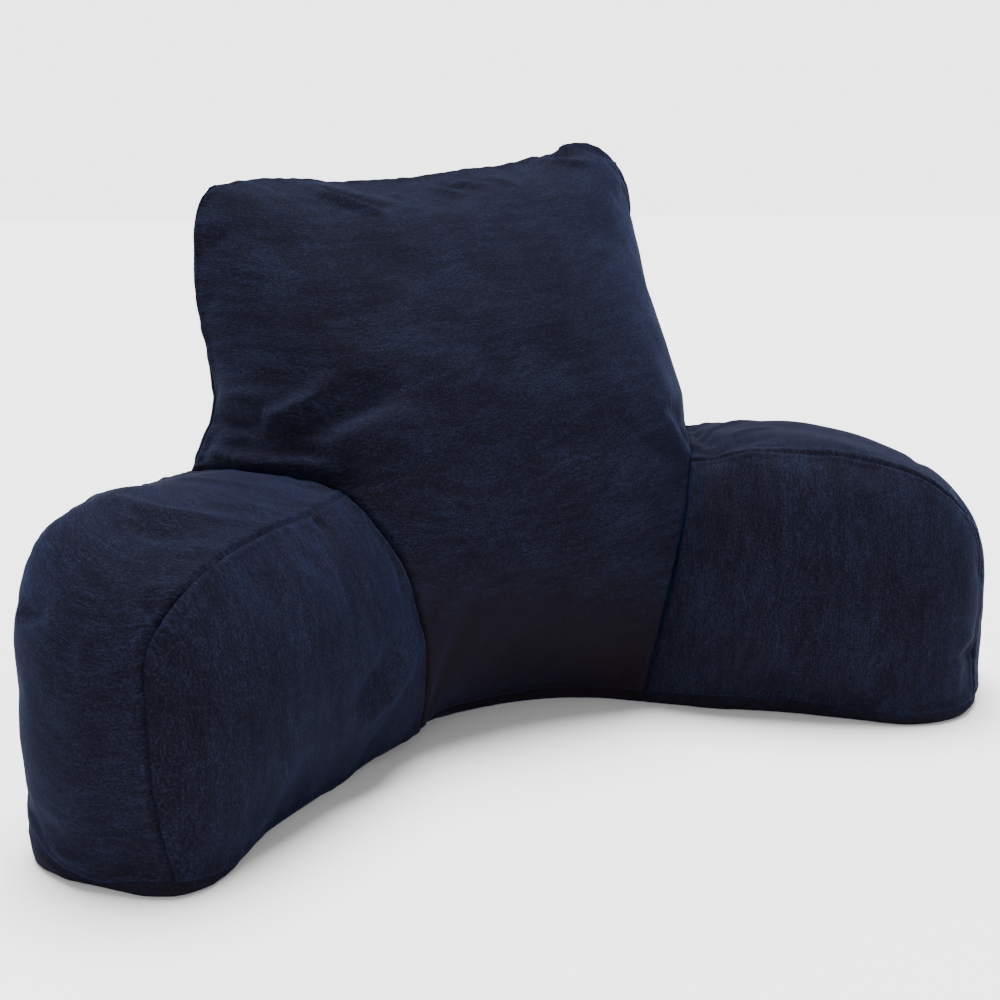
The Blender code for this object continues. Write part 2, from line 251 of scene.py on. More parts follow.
# Folds: soft ridges (height above 0) and troughs (below 0) along bent lines
FOLD_SAMPLES = 80                 # on a fold's line, from which its steps are taken
FOLD_STEPS = 33                   # along the line, once it is laid on the skin
WAY_ROUNDS = 12                   # of evening out the way to the skin
FOLD_FADE = 0.7                   # the power that shapes its ends
FOLDS = {
    # piece: start, bend and end as x, y, z, then half width and height, all in millimetres
    "back_rest": [
        # over the left arm's neck seam: a ridge, the trough under it and those above it
        ((-222, 138, 221), (-197, 80, 219), (-155, 24, 220), 6.0, 9.5),
        ((-186, 60, 213), (-170, 40, 210), (-148, 10, 206), 6.0, -6.5),
        ((-192, 92, 250), (-168, 62, 262), (-148, 54, 286), 8.0, 9.0),
        ((-184, 68, 240), (-149, 40, 257), (-106, 34, 284), 12.5, -10.0),
        ((-184, 62, 227), (-154, 34, 237), (-95, 22, 257), 14.0, 7.5),
        ((-183, 62, 230), (-171, 44, 228), (-160, 32, 225), 5.5, -4.0),
        ((-224, 130, 214), (-212, 104, 213), (-194, 70, 212), 5.5, 3.0),
        # at the waist of the left side
        ((-210, 150, 258), (-200, 118, 262), (-182, 90, 262), 8.0, 4.0),
        ((-212, 152, 245), (-204, 118, 247), (-182, 85, 243), 7.0, -4.5),
        ((-218, 148, 233), (-206, 112, 234), (-186, 82, 229), 6.0, 3.0),
        # the crease that runs down from the top seam near the left corner
        ((-106, 178, 422), (-83, 150, 411), (-57, 137, 401), 5.5, -5.5),
        ((-116, 170, 417), (-94, 148, 407), (-69, 133, 397), 5.0, 6.5),
        # short tucks along the top seam
        ((-49, 170, 422), (-40, 153, 413), (-30, 143, 406), 5.0, 3.0),
        ((-16, 176, 427), (0, 163, 422), (15, 154, 417), 5.0, 3.2),
        ((-4, 180, 428), (10, 172, 425), (20, 164, 421), 4.5, -2.8),
        ((16, 181, 430), (29, 164, 424), (42, 154, 419), 5.0, 3.0),
        ((45, 178, 433), (54, 162, 425), (65, 153, 420), 5.0, 3.0),
        # the notch and the roll at the raised right corner
        ((108, 212, 451), (121, 213, 455), (137, 214, 459), 5.0, -7.0),
        ((108, 198, 445), (128, 185, 439), (160, 192, 446), 5.5, 4.0),
        ((118, 204, 450), (128, 198, 450), (140, 200, 453), 4.0, -3.0),
        # folds of the rear panel: from both waists, along the top seam and over the base
        ((-205, 170, 235), (-165, 215, 215), (-115, 240, 205), 9.0, 6.0),
        ((-200, 165, 215), (-160, 212, 190), (-110, 238, 175), 10.0, -7.0),
        ((207, 170, 240), (165, 215, 228), (105, 240, 225), 9.0, 5.0),
        ((202, 165, 220), (160, 212, 198), (115, 238, 190), 10.0, -6.0),
        ((-90, 212, 420), (-85, 225, 395), (-75, 233, 370), 7.0, -4.5),
        ((20, 214, 425), (26, 228, 400), (36, 236, 370), 7.0, 3.5),
        ((110, 218, 443), (100, 228, 415), (85, 236, 385), 7.0, -4.5),
        ((-100, 225, 45), (-20, 240, 36), (70, 232, 45), 12.0, 2.5),
    ],
    "arm_left": [
        # across the top of the boxing
        ((-324, -12, 219), (-299, -50, 216), (-258, -56, 209), 7.0, 5.0),
        ((-329, -48, 215), (-310, -70, 211), (-285, -77, 207), 9.0, -4.5),
        ((-272, 38, 219), (-248, 22, 217), (-219, 20, 212), 6.0, 3.0),
        ((-248, -29, 211), (-227, -29, 206), (-212, -36, 199), 5.0, 3.0),
        # the tucks where the boxing turns down
        ((-331, -108, 184), (-321, -111, 184), (-311, -118, 183), 5.0, 2.2),
        ((-334, -112, 180), (-330, -118, 175), (-326, -126, 168), 4.0, -3.0),
        ((-361, -104, 169), (-367, -107, 154), (-373, -107, 138), 6.0, 2.2),
        ((-351, -115, 154), (-346, -121, 142), (-340, -129, 130), 10.0, -3.2),
        ((-347, -121, 142), (-342, -127, 136), (-336, -132, 129), 5.0, 2.0),
        ((-394, -44, 164), (-388, -63, 168), (-381, -78, 171), 5.5, -5.0),
        # the crease at the foot of the arm's end
        ((-399, -66, 30), (-383, -91, 21), (-364, -111, 13), 5.0, 2.0),
        ((-399, -60, 45), (-386, -90, 34), (-372, -105, 26), 6.0, -1.5),
        # low on the inner panel, and the tuck under its crown
        ((-122, -24, 99), (-157, -42, 68), (-187, -60, 56), 10.0, 5.5),
        ((-137, -33, 106), (-169, -53, 86), (-193, -67, 73), 11.0, -5.0),
        ((-198, -21, 200), (-193, -28, 195), (-187, -33, 190), 4.0, -2.5),
        ((-209, -32, 199), (-203, -37, 194), (-195, -41, 188), 4.5, 2.0),
        # on the outer panel: two from the root and one near the end
        ((-214, 150, 185), (-248, 130, 150), (-287, 98, 120), 9.0, 5.0),
        ((-209, 148, 165), (-243, 130, 125), (-279, 103, 90), 10.0, -5.5),
        ((-367, 16, 170), (-362, 29, 120), (-365, 23, 70), 9.0, -2.5),
    ],
    "arm_right": [
        # the upright fold beside the neck, and the hollow next to it
        ((154, -3, 200), (142, -19, 182), (131, -24, 155), 6.5, 3.0),
        ((170, -27, 206), (161, -37, 187), (150, -45, 164), 8.0, -2.5),
        # the tuck at the boxing's root
        ((188, 63, 206), (174, 31, 206), (170, 3, 207), 5.0, 2.5),
        ((180, 65, 206), (166, 36, 206), (160, 12, 206), 5.0, -3.0),
        # the dip of the boxing beside the neck, and the puckers that run off from it
        ((158, -2, 205), (200, 77, 214), (242, 150, 205), 9.0, -6.5),
        ((196, 20, 212), (214, 22, 213), (236, 14, 212), 6.0, 1.8),
        ((212, 72, 218), (232, 70, 218), (258, 62, 217), 6.0, 1.8),
        # the pinch low at the end
        ((337, -131, 47), (310, -141, 52), (286, -143, 55), 5.0, -3.5),
        ((336, -131, 60), (318, -139, 66), (300, -143, 70), 6.0, 2.0),
        # on the outer panel, and across the boxing where it turns down
        ((216, 149, 180), (253, 128, 140), (295, 91, 105), 9.0, 5.0),
        ((210, 149, 150), (248, 130, 110), (283, 100, 70), 10.0, -5.5),
        ((359, 23, 150), (352, 40, 110), (355, 35, 60), 9.0, 2.5),
        ((299, -95, 200), (334, -57, 203), (357, -13, 190), 7.0, -2.2),
    ],
}

# A loosely filled cover is never quite even: broad, low lumps all over it
LUMP_HEIGHT = 2.7 * MM
LUMP_LENGTH = 62.0 * MM
LUMP_WAVES = 12
LUMP_SEED = 5

# The drawn-in seams
SEAM_DEPTH = 3.0 * MM
SEAM_HALF_WIDTH = 1.3 * MM
ROLL_HEIGHT = 0.9 * MM
ROLL_AT = 4.5 * MM
ROLL_HALF_WIDTH = 2.6 * MM
PUCKER_HEIGHT = 0.8 * MM
PUCKER_PITCH = 21.0 * MM
PUCKER_REACH = 13.0 * MM          # the puckers fade over this away from the seam
PUCKER_START = 3.0 * MM           # they rise within this distance of the seam
PUCKER_STEP = 7.0                 # metres between two seams' places on the wave
PUCKER_SEED = 3
ARM_PUCKERS = {
    # an arm's seams that show, and how much each is puckered
    "inner": 0.5,
    "outer": 1.0,
    "neck": 0.2,
    "inner_top": 0.8,
    "inner_end": 1.0,
    "outer_top": 1.0,
    "outer_end": 1.0,
    "inner_foot": 0.7,
    "outer_foot": 1.0,
    "end_foot": 0.7,
}
BACK_PUCKERS = {"foot": 0.7, "top": 1.3, "side_left": 1.0, "side_right": 1.0, "rear_foot": 1.0}
FLOOR_FADE = 7.0 * MM             # the drawn-in line fades out towards the floor
CORNER_REACH = 16.0 * MM          # the top corners are round: their seam hardly shows,
CORNER_SHARE = 0.9                # by this share less
SHARED_SEAM = 0.7 * MM            # two pieces' points this near share one direction
HIDDEN_REACH = 12.0 * MM          # a hidden face follows its rim within this distance
ON_FLOOR = 1.0 * MM               # points below this stay where they are

# Painted shade on the low front of the back rest, in the recess between the arms
SHADE_TOP = 0.150                 # the shade starts at this height in the middle
SHADE_SLANT = 0.20                # and so much higher for each metre to the left
SHADE_RANGE = 0.095               # it is full this far below its start
SHADE_MOST = 0.92

# The short cloth simulation
SIM_FRAMES = 16
SIM_PRESSURE = 2.5
SIM_EXTRA_CLOTH = 0.012
SIM_CAP = 7.0 * MM
FILLS = (0.75, 0.85, 0.85)        # how full the back rest and the two arms are, up to 1
CORNER_FREE = 14.0 * MM           # this near the top corners their seam isn't held

# The studio: the sky's strength is WALL_GLOW up to WALL_TOP above the horizon, and falls
# to SKY_GLOW at SKY_START
LIGHT_STRENGTH = 11.0
LIGHT_SPREAD = math.radians(40.0)
LIGHT_FROM = (0.06, 0.20, 1.0)
WALL_TOP = math.radians(12.0)
SKY_START = math.radians(30.0)
WALL_GLOW = 3.55
SKY_GLOW = 0.5
FLOOR_HALF = 60.0                 # half the floor's width, so that it meets the horizon

# The camera and its aim, in the pillow's frame
VIEW_AZIMUTH = math.radians(-28.0)
VIEW_ELEVATION = math.radians(12.4)
VIEW_DISTANCE = 1.080
VIEW_LENS = 47.52
VIEW_AIM = np.array([0.0, 0.070, 0.171]) - MIDDLE


def arm_point(along, out, up):
    """A point of the right arm, from its own directions to x, y, z."""
    x = ARM_ROOT_X + along * math.sin(ARM_SPLAY) + out * math.cos(ARM_SPLAY)
    y = -along * math.cos(ARM_SPLAY) + out * math.sin(ARM_SPLAY)
    return (x, y, up)


def spread(count):
    """Numbers from 0 to 1, closer together towards both ends: EVENNESS parts of t and the
    rest of (1 - cos(pi t)) / 2."""
    even = np.linspace(0.0, 1.0, count)
    return EVENNESS * even + (1.0 - EVENNESS) * (0.5 - 0.5 * np.cos(math.pi * even))


def smooth_line(points, samples):
    """Many points on a smooth curve through the given ones (cubic Hermite pieces, slopes
    from the neighbours), and the length of the curve up to each."""
    knots = np.array(points, float)
    chord = np.concatenate([[0.0], np.cumsum(np.linalg.norm(np.diff(knots, axis=0), axis=1))])
    if len(knots) < 3:
        fine = knots
    else:
        slope = np.gradient(knots, chord, axis=0, edge_order=2)
        t = np.linspace(0.0, chord[-1], samples)
        k = np.clip(np.searchsorted(chord, t, side="right") - 1, 0, len(knots) - 2)
        h = (chord[k + 1] - chord[k])[:, None]
        s = (t - chord[k])[:, None] / h
        fine = ((1 + 2 * s) * (1 - s) ** 2 * knots[k] + s * (1 - s) ** 2 * h * slope[k]
                + s ** 2 * (3 - 2 * s) * knots[k + 1] + s ** 2 * (s - 1) * h * slope[k + 1])
    length = np.concatenate([[0.0], np.cumsum(np.linalg.norm(np.diff(fine, axis=0), axis=1))])
    return fine, length


def curve(points, count, start=0.0, end=1.0):
    """`count` points on the smooth line through the given ones, between two fractions of
    its length."""
    fine, length = smooth_line(points, CURVE_SAMPLES * len(points))
    at = (start + (end - start) * spread(count)) * length[-1]
    return np.stack([np.interp(at, length, fine[:, axis]) for axis in range(3)], axis=1)


def join(*curves):
    """Curves laid end to end, each shared point kept once."""
    return np.concatenate([curves[0]] + [c[1:] for c in curves[1:]])


def patch(foot, top, left, right):
    """Grid of points [up, across] between four border curves (a Coons patch):
    the two blends of opposite borders, less the blend of the corners."""
    u = spread(len(foot))[None, :, None]
    v = spread(len(left))[:, None, None]
    across = (1 - u) * left[:, None] + u * right[:, None]
    upwards = (1 - v) * foot[None] + v * top[None]
    corners = ((1 - v) * ((1 - u) * foot[0] + u * foot[-1])
               + v * ((1 - u) * top[0] + u * top[-1]))
    return across + upwards - corners


def grid_normals(grid):
    """Unit normals of a grid: across x up, so a panel seen with its foot down faces out."""
    n = np.cross(np.gradient(grid, axis=1), np.gradient(grid, axis=0))
    return n / np.maximum(np.linalg.norm(n, axis=2, keepdims=True), 1e-9)


def puffed(grid, panel):
    """The grid moved out along its normals by height * (16 u(1-u) v(1-v)) ** exponent."""
    height, exponent = PUFF[panel]
    u = spread(grid.shape[1])[None, :]
    v = spread(grid.shape[0])[:, None]
    crown = (16.0 * u * (1 - u) * v * (1 - v)) ** exponent
    return grid + grid_normals(grid) * (height * crown)[:, :, None]


def run_length(grid, axis):
    """Length along the grid's lines, from its first row or column."""
    step = np.linalg.norm(np.diff(grid, axis=axis), axis=2)
    start = np.zeros_like(np.take(grid[:, :, 0], [0], axis=axis))
    return np.concatenate([start, np.cumsum(step, axis=axis)], axis=axis)


class Skin:
    """One filled piece's skin, gathered panel by panel; points that meet are one point."""

    def __init__(self, name):
        self.name = name
        self.grids = []
        self.weaves = []
        self.kinds = []
        self.shades = []

    def add(self, kind, grid, weave, shade=None):
        """Add a panel: kind is cloth, base or root (the hidden face at the neck); weave
        is the cloth's own place of each point in metres, along and across the rib; shade
        is the painted shade on it, 0 to 1, full on a base."""
        self.grids.append(grid)
        self.weaves.append(weave)
        self.kinds.append(kind)
        self.shades.append(np.zeros(grid.shape[:2]) if shade is None else shade)

    def weld(self, seams):
        """Number the points once, make the faces, and mark the points held by seams."""
        cloud = np.concatenate([g.reshape(-1, 3) for g in self.grids])
        _, first, number = np.unique(np.round(cloud / WELD_STEP).astype(np.int64), axis=0,
                                     return_index=True, return_inverse=True)
        number = number.ravel()
        self.points = cloud[first]
        faces, weaves, kinds = ({3: [], 4: []} for _ in range(3))
        base, root, cloth = np.zeros((3, len(self.points)), bool)
        at = 0
        for grid, weave, kind in zip(self.grids, self.weaves, self.kinds):
            rows, cols = grid.shape[:2]
            ids = number[at:at + rows * cols].reshape(rows, cols)
            at += rows * cols
            {"base": base, "root": root, "cloth": cloth}[kind][ids.ravel()] = True
            quads = corners_of(ids)
            places = corners_of(weave)
            left_pole = quads[:, 0] == quads[:, 3]
            right_pole = quads[:, 1] == quads[:, 2]
            whole = ~(left_pole | right_pole)
            faces[4].append(quads[whole])
            weaves[4].append(places[whole])
            faces[3] += [quads[left_pole][:, :3], quads[right_pole][:, [0, 1, 3]]]
            weaves[3] += [places[left_pole][:, :3], places[right_pole][:, [0, 1, 3]]]
            code = 1 if kind == "root" else 0
            kinds[4].append(np.full(whole.sum(), code))
            kinds[3].append(np.full(left_pole.sum() + right_pole.sum(), code))
        self.quads = np.concatenate(faces[4])
        self.tris = np.concatenate(faces[3])
        self.weave = np.concatenate([np.concatenate(weaves[n]).reshape(-1, 2) for n in (4, 3)])
        self.is_root = np.concatenate([np.concatenate(kinds[n]) for n in (4, 3)])
        shade = np.concatenate([g.ravel() for g in self.shades])
        self.shade = np.zeros(len(self.points))
        np.maximum.at(self.shade, number, shade)
        # painted shade: the base cloth, which faces the floor, is painted fully dark
        self.shade[base & ~cloth] = 1.0
        self.seam = nearest(self.points, np.concatenate(seams))[0] < ON_SEAM
        self.held = self.seam | base | root

    def even(self, rounds):
        """Move each free point part of the way to the mean of its neighbours, in rounds."""
        pairs = np.concatenate([np.stack([f, np.roll(f, -1, axis=1)], axis=2).reshape(-1, 2)
                                for f in (self.quads, self.tris)])
        pairs = np.unique(np.sort(pairs, axis=1), axis=0)
        a, b = pairs[:, 0], pairs[:, 1]
        n = len(self.points)
        count = np.bincount(a, minlength=n) + np.bincount(b, minlength=n)
        free = ~self.held
        for _ in range(rounds):
            for axis in range(3):
                p = self.points[:, axis]
                total = (np.bincount(a, p[b], minlength=n) + np.bincount(b, p[a], minlength=n))
                p[free] += ROUND_SHARE * (total / count - p)[free]

    def make(self):
        """A Blender object of the skin as it is, with its weave, shade, seams and roots."""
        mesh = bpy.data.meshes.new(self.name + "_cover")
        mesh.from_pydata(self.points.tolist(), [], self.quads.tolist() + self.tris.tolist())
        mesh.uv_layers.new(name="weave").data.foreach_set("uv", self.weave.ravel())
        ends = values_of(mesh.edges, "vertices", 2, np.int32)
        creased = self.seam[ends.reshape(-1, 2)].all(axis=1)
        for name, domain, values in (("root", "FACE", self.is_root), ("shade", "POINT", self.shade),
                                     ("seam", "POINT", self.seam), ("crease_edge", "EDGE", creased)):
            layer = mesh.attributes.new(name, "FLOAT", domain)
            layer.data.foreach_set("value", values.astype(np.float32))
        piece = bpy.data.objects.new(self.name + "_cover", mesh)
        bpy.context.scene.collection.objects.link(piece)
        return piece


def corners_of(grid):
    """The four corners of each cell of a grid, anticlockwise, as rows."""
    cells = np.stack([grid[:-1, :-1], grid[:-1, 1:], grid[1:, 1:], grid[1:, :-1]], axis=2)
    return cells.reshape((-1, 4) + grid.shape[2:])


def arm_seams(side):
    """Every seam curve of one arm, by name."""
    turn = np.array([-1.0 if side == "left" else 1.0, 1.0, 1.0])
    inner_edge = [arm_point(*row) for row in INNER_EDGE[side]]
    outer_edge = [arm_point(*row) for row in OUTER_EDGE[side]]
    neck_top = 0.5 * (np.array(inner_edge[0]) + np.array(outer_edge[0])) + (0.0, 0.0, NECK_ARCH)
    inner_foot = [arm_point(*row) for row in INNER_FOOT[side]]
    outer_foot = [arm_point(*row) for row in OUTER_FOOT]
    end_foot = [arm_point(*row) for row in END_FOOT[side]]
    seams = {
        "inner": curve(INNER_SEAM[side] + inner_edge[:1], N_UP),
        "outer": curve(OUTER_SEAM + outer_edge[:1], N_UP),
        "inner_top": curve(inner_edge, N_LONG, 0.0, TOP_SHARE),
        "inner_end": curve(inner_edge, N_UP, TOP_SHARE, 1.0),
        "outer_top": curve(outer_edge, N_LONG, 0.0, TOP_SHARE),
        "outer_end": curve(outer_edge, N_UP, TOP_SHARE, 1.0),
        "neck": curve([inner_edge[0], neck_top, outer_edge[0]], N_WIDE),
        "root_foot": curve([INNER_SEAM[side][0], OUTER_SEAM[0]], N_WIDE),
        "end_foot": curve([inner_edge[-1], *end_foot, outer_edge[-1]], N_WIDE),
        "inner_foot": curve([INNER_SEAM[side][0], *inner_foot, inner_edge[-1]], N_LONG),
        "outer_foot": curve([OUTER_SEAM[0], *outer_foot, outer_edge[-1]], N_LONG),
    }
    return {name: points * turn - MIDDLE for name, points in seams.items()}


def back_seams(left, right):
    """The back rest's own seam curves, by name."""
    across = [left["neck"][0], *(np.array(FRONT_AT_NECK) - MIDDLE), right["neck"][0]]
    rear = [right["outer"][0], np.array([0.0, REAR_FOOT_Y, SEAM_UP]) - MIDDLE, left["outer"][0]]
    wide = N_FRONT + 2 * N_WIDE - 2
    return {
        "side_left": curve([left["outer"][-1], *(np.array(SIDE_SEAM["left"]) - MIDDLE)], N_HIGH),
        "side_right": curve([right["outer"][-1], *(np.array(SIDE_SEAM["right"]) - MIDDLE)], N_HIGH),
        "neck_middle": curve(across, N_FRONT),
        "foot": curve(np.array(FRONT_FOOT) - MIDDLE, N_FRONT),
        "top": curve(np.array(TOP_SEAM) - MIDDLE, wide),
        "rear_foot": curve(rear, wide),
    }


def turned_under(grid, border, root=None):
    """A base panel: it leaves its seam downwards and lies on the floor, z = seam height *
    t * t, with t from 1 at the seam to 0 at the end of its reach. Round `root` it reaches
    further: ROOT_REACH * exp(-(distance / ROOT_SPREAD) ** 2) more."""
    flat = grid.reshape(-1, 3)[:, :2]
    gaps = np.linalg.norm(flat[:, None] - border[None, :, :2], axis=2)
    reach = BASE_REACH
    if root is not None:
        reach = reach + ROOT_REACH * np.exp(-(np.linalg.norm(flat - root[:2], axis=1) / ROOT_SPREAD) ** 2)
    t = np.clip(1.0 - gaps.min(axis=1) / reach, 0.0, 1.0)
    down = grid.copy()
    down[:, :, 2] = (border[gaps.argmin(axis=1), 2] * t * t).reshape(grid.shape[:2])
    return down


def shaded(grid):
    """The painted shade of the low front between the arms, 0 to 1: a smooth step in height
    that starts higher on the left."""
    t = np.clip((SHADE_TOP - SHADE_SLANT * grid[:, :, 0] - grid[:, :, 2]) / SHADE_RANGE, 0.0, 1.0)
    return SHADE_MOST * t * t * (3.0 - 2.0 * t)


def leaning(weave, degrees):
    """The weave turned by a few degrees: positive leans its rib up to the right."""
    c, s = math.cos(math.radians(degrees)), math.sin(math.radians(degrees))
    x, y = weave[:, :, 0], weave[:, :, 1]
    return np.stack([c * x + s * y, c * y - s * x], axis=2)


def plan_weave(grid):
    """The weave of a panel that lies flat: its place in plan, run on where it turns up."""
    return grid[:, :, :2] + PLAN_RUN * grid[:, :, 2:]


def arm_skin(side, s):
    """A boxed arm: two D-shaped panels, the boxing strip over its top and down its end,
    its base and the hidden face that it is sewn on by."""
    mirror = side == "left"
    flip = (lambda g: g[:, ::-1]) if mirror else (lambda g: g)
    skin = Skin("arm_" + side)
    inner = flip(patch(s["inner_foot"], s["inner_top"], s["inner"], s["inner_end"][::-1]))
    outer = flip(patch(s["outer_foot"][::-1], s["outer_top"][::-1], s["outer_end"][::-1], s["outer"]))
    boxing = flip(patch(join(s["inner_top"], s["inner_end"]), join(s["outer_top"], s["outer_end"]),
                        s["neck"], s["end_foot"]))
    for name, grid in (("inner", inner), ("outer", outer)):
        full = puffed(grid, f"{name}_{side}")
        across = grid[:, :, 0] * (-1 if mirror else 1)
        along = across * math.sin(ARM_SPLAY) - grid[:, :, 1] * math.cos(ARM_SPLAY)
        skin.add("cloth", full, np.stack([grid[:, :, 2], along], axis=2))
    full = puffed(boxing, "boxing_" + side)
    skin.add("cloth", full, np.stack([run_length(full, 0), run_length(full, 1)], axis=2))
    base = flip(patch(s["inner_foot"], s["outer_foot"], s["root_foot"], s["end_foot"]))[::-1]
    loop = join(s["inner_foot"], s["end_foot"], s["outer_foot"][::-1])
    corner = s["inner_foot"][0] if mirror else None
    base = turned_under(base, loop, corner)
    skin.add("base", base, plan_weave(base))
    root_foot = turned_under(s["root_foot"][None], loop, corner)[0]
    root = flip(patch(root_foot[::-1], s["neck"][::-1], s["outer"], s["inner"]))
    skin.add("root", root, plan_weave(root))
    skin.weld([points for name, points in s.items() if name != "root_foot"] + [root_foot])
    skin.even(ARM_ROUNDS)
    return skin


def back_skin(left, right, s):
    """The back rest: a T-shaped front panel, a rear panel, a base and two hidden faces."""
    skin = Skin("back_rest")
    low = puffed(patch(s["foot"], s["neck_middle"], left["inner"], right["inner"]), "front_low")
    neck_line = join(left["neck"][::-1], s["neck_middle"], right["neck"])
    high = puffed(patch(neck_line, s["top"], s["side_left"], s["side_right"]), "front_high")
    rear = puffed(patch(s["rear_foot"], s["top"][::-1], join(right["outer"], s["side_right"]),
                        join(left["outer"], s["side_left"])), "rear")
    low_up = run_length(low, 0)
    ends = np.full(N_WIDE - 1, low_up[-1, 0]), np.full(N_WIDE - 1, low_up[-1, -1])
    high_up = run_length(high, 0) + np.concatenate([ends[0], low_up[-1], ends[1]])[None]
    # painted shade: the low front panel is darkened towards the floor by its shade
    skin.add("cloth", low, leaning(np.stack([low[:, :, 0], low_up], axis=2), RIB_LEAN), shaded(low))
    skin.add("cloth", high, leaning(np.stack([high[:, :, 0], high_up], axis=2), RIB_LEAN))
    skin.add("cloth", rear, np.stack([rear[:, :, 0], run_length(rear, 0)], axis=2))
    front_loop = join(left["root_foot"][::-1], s["foot"], right["root_foot"])
    one = np.repeat(front_loop[:1], N_WIDE, axis=0)
    other = np.repeat(front_loop[-1:], N_WIDE, axis=0)
    base = patch(front_loop, s["rear_foot"][::-1], one, other)[::-1]
    loop = np.concatenate([s["foot"], s["rear_foot"]])
    base = turned_under(base, loop, s["foot"][0])
    skin.add("base", base, plan_weave(base))
    left_foot, right_foot = (turned_under(arm["root_foot"][None], loop, s["foot"][0])[0]
                             for arm in (left, right))
    for root in (patch(right_foot, right["neck"], right["inner"], right["outer"]),
                 patch(left_foot[::-1], left["neck"][::-1], left["outer"], left["inner"])):
        skin.add("root", root, plan_weave(root))
    own = [s[name] for name in ("foot", "top", "side_left", "side_right", "rear_foot")]
    edges = [arm[name] for arm in (left, right) for name in ("inner", "outer", "neck")]
    skin.weld(own + edges + [left_foot, right_foot])
    skin.even(BACK_ROUNDS)
    return skin


def values_of(items, name, width=1, kind=np.float32):
    """One property of all of a mesh's items, as a flat array."""
    flat = np.zeros(len(items) * width, kind)
    items.foreach_get(name, flat)
    return flat


def set_coords(piece, points):
    """Move a piece's points."""
    piece.data.vertices.foreach_set("co", points.astype(np.float32).ravel())
    piece.data.update()


def coords(mesh):
    """A mesh's points as an array."""
    return values_of(mesh.vertices, "co", 3).reshape(-1, 3).astype(float)


def blown_up(pieces, skins):
    """A short cloth simulation with the seams, bases and hidden faces held: pressure and
    a little extra cloth give the panels their slack. Each point's way is capped by
    cap * tanh(way / cap)."""
    fixed = [skin.held & (nearest(skin.points, TOP_CORNERS)[0] > CORNER_FREE) for skin in skins]
    for piece, still in zip(pieces, fixed):
        held = piece.vertex_groups.new(name="held")
        held.add(np.nonzero(still)[0].tolist(), 1.0, "REPLACE")
        cloth = piece.modifiers.new("filling", "CLOTH")
        set_up = cloth.settings
        set_up.quality = 5
        set_up.mass = 0.3
        set_up.tension_stiffness = 20
        set_up.compression_stiffness = 20
        set_up.shear_stiffness = 8
        set_up.bending_stiffness = 0.6
        set_up.air_damping = 2
        set_up.vertex_group_mass = "held"
        set_up.use_pressure = True
        set_up.uniform_pressure_force = SIM_PRESSURE
        set_up.shrink_min = -SIM_EXTRA_CLOTH
        set_up.effector_weights.gravity = 0.0
        cloth.collision_settings.use_self_collision = False
        cloth.collision_settings.use_collision = False
        cloth.point_cache.frame_start = 1
        cloth.point_cache.frame_end = SIM_FRAMES
    for step in range(1, SIM_FRAMES + 1):
        bpy.context.scene.frame_set(step)
    graph = bpy.context.evaluated_depsgraph_get()
    for piece, skin, still in zip(pieces, skins, fixed):
        end = coords(piece.evaluated_get(graph).data)
        way = end - skin.points
        size = np.linalg.norm(way, axis=1, keepdims=True)
        way *= SIM_CAP * np.tanh(size / SIM_CAP) / np.maximum(size, 1e-9)
        way[still] = 0.0
        skin.points = skin.points + way
    for piece in pieces:
        piece.modifiers.clear()
        piece.vertex_groups.clear()
    bpy.context.scene.frame_set(1)


def finer(piece):
    """Split each cell of the piece in four (one applied Catmull-Clark level)."""
    split = piece.modifiers.new("finer", "SUBSURF")
    split.levels = 1
    split.render_levels = 1
    graph = bpy.context.evaluated_depsgraph_get()
    mesh = bpy.data.meshes.new_from_object(piece.evaluated_get(graph), preserve_all_data_layers=True,
                                           depsgraph=graph)
    piece.modifiers.clear()
    piece.data = mesh


def outer_normals(mesh, points):
    """The sum of the face normals round each point, of the cloth and base faces alone and
    weighted by size, and which points are on such a face."""
    triangles = values_of(mesh.loop_triangles, "vertices", 3, np.int32).reshape(-1, 3)
    owner = values_of(mesh.loop_triangles, "polygon_index", 1, np.int32)
    root = values_of(mesh.attributes["root"].data, "value")
    triangles = triangles[root[owner] < 0.5]
    a, b, c = (points[triangles[:, k]] for k in range(3))
    face = np.cross(b - a, c - a)
    total = np.zeros_like(points)
    for axis in range(3):
        weights = np.tile(face[:, axis], 3)
        total[:, axis] = np.bincount(triangles.T.ravel(), weights, minlength=len(points))
    on_cloth = np.bincount(triangles.ravel(), minlength=len(points)) > 0
    return total, on_cloth


def nearest(points, line):
    """Distance to the nearest of a line's points, and its number. The distance is the root
    of |p|^2 + |q|^2 - 2 p.q, worked out for SLICE points at a time."""
    away = np.empty(len(points))
    number = np.empty(len(points), int)
    square = (line ** 2).sum(axis=1)
    for at in range(0, len(points), SLICE):
        part = slice(at, at + SLICE)
        some = points[part]
        d2 = (some ** 2).sum(axis=1)[:, None] + square[None] - 2.0 * some @ line.T
        number[part] = d2.argmin(axis=1)
        away[part] = np.sqrt(np.maximum(d2.min(axis=1), 0.0))
    return away, number


def to_segments(points, a, b):
    """Distance from each point to the nearest stretch a-b, with that stretch's number and
    how far along it: |p - a - s (b - a)|, s = (p - a).(b - a) / |b - a|^2, from 0 to 1."""
    _, number = nearest(points, 0.5 * (a + b))
    best = np.full(len(points), np.inf)
    which = number.copy()
    along = np.zeros(len(points))
    for step in (-1, 0, 1):
        k = np.clip(number + step, 0, len(a) - 1)
        way = b[k] - a[k]
        size = np.linalg.norm(way, axis=1)
        s = np.clip(((points - a[k]) * way).sum(axis=1) / size ** 2, 0.0, 1.0)
        gap = np.linalg.norm(points - a[k] - s[:, None] * way, axis=1)
        closer = gap < best
        best[closer] = gap[closer]
        which[closer] = k[closer]
        along[closer] = (s * size)[closer]
    return best, which, along


